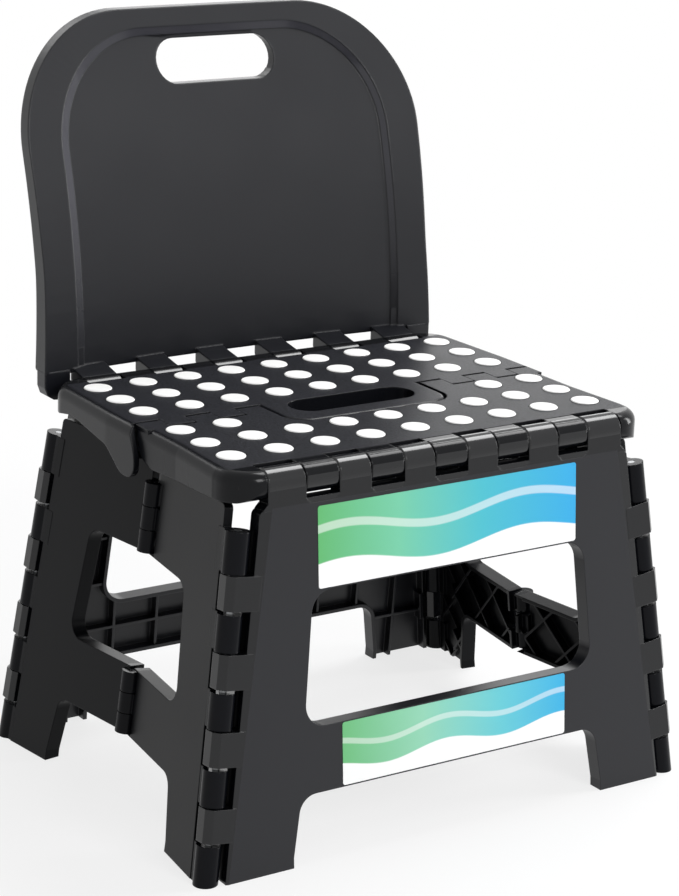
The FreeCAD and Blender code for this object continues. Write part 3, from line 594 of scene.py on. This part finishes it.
def padTree(material, paintedShadeLook):
    # a straight wall, a chamfered crown and a flat dark ring of painted shade for the groove,
    # copied to every point
    tree = bpy.data.node_groups.new("gripPadTree", "GeometryNodeTree")
    face = tree.interface
    face.new_socket("Geometry", in_out="INPUT", socket_type="NodeSocketGeometry")
    for name, kind, _ in padInputs:
        face.new_socket(name, in_out="INPUT", socket_type=kind)
    face.new_socket("Geometry", in_out="OUTPUT", socket_type="NodeSocketGeometry")
    given = addNode(tree, "NodeGroupInput").outputs
    radius = addNode(tree, "ShaderNodeMath", (given["Diameter"], 0.5), operation="MULTIPLY")
    shoulder = addNode(tree, "ShaderNodeMath", (given["Rise"], given["Edge"]),
                       operation="SUBTRACT")
    crown = addNode(tree, "ShaderNodeMath", (radius, given["Edge"]), operation="SUBTRACT")
    wall = addNode(tree, "GeometryNodeMeshCone",
                   {"Vertices": given["Sides"], "Radius Top": radius, "Radius Bottom": radius,
                    "Depth": shoulder}, fill_type="NONE")
    rim = addNode(tree, "GeometryNodeMeshCone",
                  {"Vertices": given["Sides"], "Radius Top": crown, "Radius Bottom": radius,
                   "Depth": given["Edge"]}, fill_type="NGON")
    lift = addNode(tree, "ShaderNodeCombineXYZ", {"Z": shoulder})
    raised = addNode(tree, "GeometryNodeTransform", {"Geometry": rim, "Translation": lift})
    pad = addNode(tree, "GeometryNodeJoinGeometry")
    tree.links.new(wall.outputs[0], pad.inputs[0])
    tree.links.new(raised.outputs[0], pad.inputs[0])
    white = addNode(tree, "GeometryNodeSetMaterial", {"Geometry": pad, "Material": material})
    # the ring is painted shade: a near-black sheet where the groove round the pad lies in shadow
    outer = addNode(tree, "ShaderNodeMath", (radius, given["Groove Width"]), operation="ADD")
    ring = addNode(tree, "GeometryNodeMeshCone",
                   {"Vertices": given["Sides"], "Radius Top": radius, "Radius Bottom": outer,
                    "Depth": given["Groove Rise"]}, fill_type="NONE")
    shadeRing = addNode(tree, "GeometryNodeSetMaterial", {"Geometry": ring, "Material": paintedShadeLook})
    whole = addNode(tree, "GeometryNodeJoinGeometry")
    tree.links.new(white.outputs[0], whole.inputs[0])
    tree.links.new(shadeRing.outputs[0], whole.inputs[0])
    copies = addNode(tree, "GeometryNodeInstanceOnPoints",
                     {"Points": given["Geometry"], "Instance": whole})
    real = addNode(tree, "GeometryNodeRealizeInstances", (copies,))
    addNode(tree, "NodeGroupOutput", (real,))
    return tree


def inputId(tree, name):
    for item in tree.interface.items_tree:
        if item.item_type == "SOCKET" and item.in_out == "INPUT" and item.name == name:
            return item.identifier
    raise KeyError(name)


def padsOnSeat(name, places, tree, body, node, values):
    mesh = bpy.data.meshes.new(name)
    top = stoolShape["seatTop"]
    mesh.from_pydata([(x, y, top) for x, y in places], [], [])
    pads = addObject(name, mesh)
    modifier = pads.modifiers.new("pads", "NODES")
    modifier.node_group = tree
    for socketName, _, key in padInputs:
        modifier[inputId(tree, socketName)] = values[key]
    mergeDoubles(plainMesh(pads, name), values["mergeDistance"], turnOut=True)
    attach(pads, body)
    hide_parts(node)


# Round knuckles along the front and rear edges of the seat, and what closes the gaps under them

knuckles = {
    "legRadius": 8.6 * mm,
    "seatRadius": 8.4 * mm,
    "chamfer": 0.7 * mm,
    "endGap": 0.25 * mm,
    "sides": 40,
    "sillLow": 202.8 * mm,      # a sill on the leg panel rises between its columns
    "sillHigh": 206.1 * mm,
    "sillDepth": 7.0 * mm,
    "sillSetBack": 0.05 * mm,
    "sillOverlap": 0.5 * mm,
    # painted shade: a near-black strip along grooveY stands for the shadow between the knuckles and
    # the tread
    "grooveY": 92.2 * mm,       # dark line between the knuckles and the tread
    "grooveWidth": 0.8 * mm,
    "grooveRise": 0.04 * mm,
    "grooveSink": 0.1 * mm,
}


def columnSpans():
    # spans in X of the leg panel's columns and of the seat's knuckles between them
    right = stoolShape["legColumns"]
    columns = [(-high, -low) for low, high in reversed(right)] + list(right)
    between = [(before[1], after[0]) for before, after in zip(columns, columns[1:])]
    return columns, between


def ringOfPoints(shape, x, y, z, radius, sides):
    turns = [2 * math.pi * i / sides for i in range(sides)]
    return [shape.verts.new((x, y + radius * math.cos(t), z + radius * math.sin(t))) for t in turns]


def addBarrels(name, spans, y, radius, body, material, values):
    # a barrel along X for each span, with a chamfer at both ends
    shape = bmesh.new()
    z = stoolShape["edgeAxisZ"]
    cut = values["chamfer"]
    for low, high in spans:
        start = low + values["endGap"]
        stop = high - values["endGap"]
        levels = ((start, radius - cut), (start + cut, radius),
                  (stop - cut, radius), (stop, radius - cut))
        rings = [ringOfPoints(shape, x, y, z, r, values["sides"]) for x, r in levels]
        shape.faces.new(list(reversed(rings[0])))
        shape.faces.new(rings[-1])
        for first, second in zip(rings, rings[1:]):
            for index in range(values["sides"]):
                after = (index + 1) % values["sides"]
                face = shape.faces.new((first[index], first[after], second[after], second[index]))
                face.smooth = True
                face.edges[0].smooth = False     # the chamfers keep a crisp edge
                face.edges[2].smooth = False
    finishPiece(name, shape, body, material)


def boxCorners(low, high, lean=0.0):
    # the box leans in Y with height by the given share
    def ring(z):
        shift = lean * (z - low[2])
        return [(low[0], low[1] + shift, z), (high[0], low[1] + shift, z),
                (high[0], high[1] + shift, z), (low[0], high[1] + shift, z)]
    return ring(low[2]) + ring(high[2])


def addBlocks(name, blocks, body, material):
    # each block: 8 corners, bottom ring then top ring
    shape = bmesh.new()
    for corners in blocks:
        points = [shape.verts.new(corner) for corner in corners]
        for ring in ((0, 1, 2, 3), (4, 5, 6, 7), (0, 1, 5, 4), (1, 2, 6, 5), (2, 3, 7, 6),
                     (3, 0, 4, 7)):
            shape.faces.new([points[i] for i in ring])
    finishPiece(name, shape, body, material)


def buildEdge(side, legBody, seatBody, wallLook, paintedShadeLook, values):
    # side is -1 for the front edge and 1 for the rear one
    columns, between = columnSpans()
    end = "front" if side < 0 else "rear"
    y = side * stoolShape["edgeAxisY"]
    addBarrels(end + "LegKnuckles", columns, y, values["legRadius"], legBody, wallLook, values)
    addBarrels(end + "SeatKnuckles", between, y, values["seatRadius"], seatBody, wallLook, values)
    lean = stoolShape["panelLean"]
    outer = abs(panelFaceY()) - lean * values["sillLow"] - values["sillSetBack"]
    near, far = sorted((side * outer, side * (outer - values["sillDepth"])))
    sills = [boxCorners((low - values["sillOverlap"], near, values["sillLow"]),
                        (high + values["sillOverlap"], far, values["sillHigh"]), -side * lean)
             for low, high in between]
    addBlocks(end + "LegSill", sills, legBody, wallLook)
    # painted shade: a thin near-black strip on the tread's edge, for the shadow in the gap next to
    # the knuckles
    middle = side * values["grooveY"]
    half = values["grooveWidth"] / 2
    top = stoolShape["seatTop"]
    lines = [boxCorners((low, middle - half, top - values["grooveSink"]),
                        (high, middle + half, top + values["grooveRise"]))
             for low, high in between]
    addBlocks(end + "TreadShadeLine", lines, seatBody, paintedShadeLook)


# Flanges that carry the backrest's lower corners down behind the seat

flange = {
    # X and Z of its outline on the right side, and the Y of its two faces, in millimetres
    "outline": ((137.2, 226.0), (137.2, 216.5), (135.4, 211.6), (131.4, 209.0), (126.0, 208.6),
                (121.6, 210.2), (120.6, 214.0), (120.6, 226.0)),
    "near": 111.5,
    "far": 121.5,
}


def addFlanges(values, body, material):
    shape = bmesh.new()
    for side in (-1, 1):
        near, far = ([shape.verts.new((side * x * mm, values[key] * mm, z * mm))
                      for x, z in values["outline"]] for key in ("near", "far"))
        drawPrism(shape, near, far)
    finishPiece("backrestFlanges", shape, body, material)


# The backrest with its hand slot at full width: the moulding plus a collar, then the slot cut

backFace = {
    "behindAxis": 10.0 * mm,    # outer face at the height of the edge axis
    "leanRadius": 441.0 * mm,   # from there up it leans back on this arc
    "top": 428.0 * mm,
    "bowLow": 8.0 * mm,         # its middle is bowed to the rear, less so at the top
    "bowTop": 4.0 * mm,
    "bowHalf": 150.0 * mm,
}
handSlot = {
    "halfWidth": 41.2 * mm,
    "halfHeight": 13.0 * mm,
    "height": 397.0 * mm,
    "collar": 2.6 * mm,
    "near": 2.6 * mm,           # the collar starts inside the skin and ends with the ribs
    "far": 8.4 * mm,
    "cutNear": -30 * mm,        # the cut goes right through
    "cutFar": 40 * mm,
    "steps": 14,
    "mergeDistance": 0.002 * mm,
    "smoothAngle": 7,
}


def backFaceY(x, z, values):
    rise = z - stoolShape["edgeAxisZ"]
    share = rise / (values["top"] - stoolShape["edgeAxisZ"])
    bow = values["bowLow"] - (values["bowLow"] - values["bowTop"]) * share
    lean = rise * rise / (2 * values["leanRadius"])
    axisFace = stoolShape["edgeAxisY"] + values["behindAxis"]
    return axisFace + lean + bow * (1 - (x / values["bowHalf"]) ** 2)


def slotOutline(grow, values):
    # two half rounds, from -90 to 90 degrees on the right and on to 270 on the left
    radius = values["halfHeight"] + grow
    reach = values["halfWidth"] - values["halfHeight"]
    points = []
    for side, start in ((1, -90), (-1, 90)):
        for step in range(values["steps"] + 1):
            turn = math.radians(start + 180 * step / values["steps"])
            points.append((side * reach + radius * math.cos(turn),
                           values["height"] + radius * math.sin(turn)))
    return points


def slotSolid(name, grow, near, far, values):
    # follows the backrest's own face, from near to far behind it
    shape = bmesh.new()
    outline = [(x, backFaceY(x, z, backFace), z) for x, z in slotOutline(grow, values)]
    front = [shape.verts.new((x, y + near, z)) for x, y, z in outline]
    back = [shape.verts.new((x, y + far, z)) for x, y, z in outline]
    drawPrism(shape, front, back)
    bmesh.ops.triangulate(shape, faces=[f for f in shape.faces if len(f.verts) > 4])
    return addObject(name, meshFrom(shape, name))


def buildBackrest(values, material):
    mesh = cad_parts["backrest_panel"].data.copy()
    mergeDoubles(mesh, values["mergeDistance"], turnOut=False)
    piece = addObject("backrestShell", mesh)
    collar = slotSolid("slotCollar", values["collar"], values["near"], values["far"], values)
    cutter = slotSolid("slotCutter", 0.0, values["cutNear"], values["cutFar"], values)
    for tool, operation in ((collar, "UNION"), (cutter, "DIFFERENCE")):
        change = piece.modifiers.new(tool.name, "BOOLEAN")
        change.object = tool
        change.operation = operation
        change.solver = "EXACT"
    made = plainMesh(piece, "backrestShell")
    for tool in (collar, cutter):
        bpy.data.objects.remove(tool)
    made.polygons.foreach_set("use_smooth", [True] * len(made.polygons))
    made.set_sharp_from_angle(angle=math.radians(values["smoothAngle"]))
    made.materials.clear()
    made.materials.append(material)
    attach(piece, "rear_frame")
    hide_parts("backrest_panel")
    print("backrest faces:", len(made.polygons))


# Printed vinyl labels on the two cross bars of the front panel

labels = {
    "thickness": 0.18 * mm,
    "lift": 0.03 * mm,
    "corner": 1.5 * mm,
    "cornerSteps": 5,
    "paper": "#f6f7f6",
    "inkEdge": 0.008,           # softness of a printed edge, as a share of the label's height
    "roughness": 0.32,
    "film": 0.25,
    "filmRoughness": 0.12,
    "upper": {"left": -88 * mm, "right": 86 * mm, "low": 154.9 * mm, "high": 200.6 * mm},
    "lower": {"left": -74 * mm, "right": 79 * mm, "low": 41.0 * mm, "high": 77.2 * mm},
}
upperLook = {
    "inks": ((0.0, "#57b267"), (0.30, "#6cc5a0"), (0.62, "#3bb7c6"), (1.0, "#12a3dd")),
    "waves": 9.0, "shift": 0.7, "swell": 0.09, "shore": 0.24,
    "ribbonHeight": 0.42, "ribbonHalf": 0.05, "ribbonTint": 0.45,
}
lowerLook = {
    "inks": ((0.0, "#63b774"), (0.35, "#8ccfb0"), (0.7, "#5cc4cf"), (1.0, "#1ba9dc")),
    "waves": 12.0, "shift": 2.4, "swell": 0.08, "shore": 0.30,
    "ribbonHeight": 0.36, "ribbonHalf": 0.045, "ribbonTint": 0.4,
}


def labelMaterial(name, look, values):
    # printed vinyl sticker under a clear film: smooth, bright inks, soft gloss
    material, tree = newMaterial(name)
    uv = addNode(tree, "ShaderNodeUVMap", uv_map="labelMap")
    across, up, _ = addNode(tree, "ShaderNodeSeparateXYZ", (uv,)).outputs
    ramp = addNode(tree, "ShaderNodeValToRGB", (across,))
    stops = ramp.color_ramp.elements
    while len(stops) < len(look["inks"]):
        stops.new(0.5)
    for stop, (position, ink) in zip(stops, look["inks"]):
        stop.position = position
        stop.color = linearColour(ink)
    # broad soft waves run along the sheet, white below the lowest one
    phase = addNode(tree, "ShaderNodeMath", (across, look["waves"], look["shift"]),
                    operation="MULTIPLY_ADD")
    swing = addNode(tree, "ShaderNodeMath", (phase,), operation="SINE")
    crest = addNode(tree, "ShaderNodeMath", (swing, look["swell"], look["shore"]),
                    operation="MULTIPLY_ADD")
    sheet = addNode(tree, "ShaderNodeMath", (up, crest), operation="SUBTRACT")
    edge = values["inkEdge"]
    paper = addNode(tree, "ShaderNodeMapRange",
                    {"Value": sheet, "From Min": -edge, "From Max": edge,
                     "To Min": 1.0, "To Max": 0.0})
    # a paler ribbon follows the waves higher up
    offset = addNode(tree, "ShaderNodeMath", (sheet, look["ribbonHeight"]), operation="SUBTRACT")
    band = addNode(tree, "ShaderNodeMath", (offset,), operation="ABSOLUTE")
    ribbon = addNode(tree, "ShaderNodeMapRange",
                     {"Value": band, "From Min": look["ribbonHalf"] - edge,
                      "From Max": look["ribbonHalf"] + edge, "To Min": look["ribbonTint"],
                      "To Max": 0.0})
    white = linearColour(values["paper"])
    tinted = addNode(tree, "ShaderNodeMix", {0: ribbon, 6: ramp.outputs[0], 7: white},
                     data_type="RGBA")
    printed = addNode(tree, "ShaderNodeMix", {0: paper, 6: tinted.outputs[2], 7: white},
                      data_type="RGBA")
    surface = addNode(tree, "ShaderNodeBsdfPrincipled",
                      {"Base Color": printed.outputs[2], "Roughness": values["roughness"],
                       "Coat Weight": values["film"], "Coat Roughness": values["filmRoughness"]})
    addNode(tree, "ShaderNodeOutputMaterial", {"Surface": surface})
    return material


def labelOutline(area, values):
    # round corners, from the top right one to the left
    corner = values["corner"]
    left, right = area["left"] + corner, area["right"] - corner
    low, high = area["low"] + corner, area["high"] - corner
    points = []
    for x, z, start in ((right, high, 0), (left, high, 90), (left, low, 180), (right, low, 270)):
        for step in range(values["cornerSteps"] + 1):
            turn = math.radians(start + 90 * step / values["cornerSteps"])
            points.append((x + corner * math.cos(turn), z + corner * math.sin(turn)))
    return points


def addLabel(name, area, material, values):
    # a thin sheet just in front of the leaning panel face
    lean = stoolShape["panelLean"]
    out = Vector((0, -1, lean)).normalized()
    floorY = panelFaceY()
    face = [Vector((x, floorY + lean * z, z)) for x, z in labelOutline(area, values)]
    outer = values["lift"] + values["thickness"]
    shape = bmesh.new()
    front = [shape.verts.new(point + out * outer) for point in face]
    back = [shape.verts.new(point + out * values["lift"]) for point in face]
    drawPrism(shape, front, back)
    width = area["right"] - area["left"]
    height = area["high"] - area["low"]
    mapLayer = shape.loops.layers.uv.new("labelMap")
    for each in shape.faces:
        for loop in each.loops:
            loop[mapLayer].uv = ((loop.vert.co.x - area["left"]) / width,
                                 (loop.vert.co.z - area["low"]) / height)
    finishPiece(name, shape, "front_leg", material)


# Build the scene

addCamera(photoView)
buildRoom(studio)
buildFloor(studio)
for lamp in studio["lamps"]:
    addLamp(*lamp)
print("camera, floor and lamps ready")

backPlastic = mouldedPlastic("mouldedPolypropyleneBack", backRegion, plastic, backWall)
finishes = {
    "_pin": pinMaterial(pins),
    "_leg_panel": mouldedPlastic("mouldedPolypropyleneLeg", legRegion, plastic, legWall),
    "_side_panel": mouldedPlastic("mouldedPolypropyleneSide", sideRegion, plastic, sideWall),
    "_seat_half": mouldedPlastic("mouldedPolypropyleneSeat", seatRegion, plastic, seatWall),
    "backrest_panel": backPlastic,
}
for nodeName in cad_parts:
    for part, finish in finishes.items():
        if part in nodeName:
            dressNode(nodeName, finish)
print("moulded parts and pins dressed")

elastomer = gripPadMaterial(gripPads)
paintedShadeLook = grooveShadeMaterial(gripPads)
treeOfPads = padTree(elastomer, paintedShadeLook)
frontPlaces, rearPlaces = padPlaces(gripPads)
padsOnSeat("frontGripPads", frontPlaces, treeOfPads, "front_seat", "front_seat_pads", gripPads)
padsOnSeat("rearGripPads", rearPlaces, treeOfPads, "rear_seat", "rear_seat_pads", gripPads)
print("grip pads placed:", len(frontPlaces) + len(rearPlaces))

knuckleGloss = mouldedPlastic("polishedPolypropyleneKnuckle", knuckleRegion, plastic, knuckleWall)
buildEdge(-1, "front_leg", "front_seat", knuckleGloss, paintedShadeLook, knuckles)
buildEdge(1, "rear_frame", "rear_seat", knuckleGloss, paintedShadeLook, knuckles)
addFlanges(flange, "rear_frame", backPlastic)
buildBackrest(handSlot, backPlastic)
print("edge knuckles, sills and backrest placed")

upperVinyl = labelMaterial("printedVinylUpper", upperLook, labels)
lowerVinyl = labelMaterial("printedVinylLower", lowerLook, labels)
addLabel("upperLabel", labels["upper"], upperVinyl, labels)
addLabel("lowerLabel", labels["lower"], lowerVinyl, labels)
print("labels placed")

bpy.context.scene.view_settings.view_transform = "Standard"
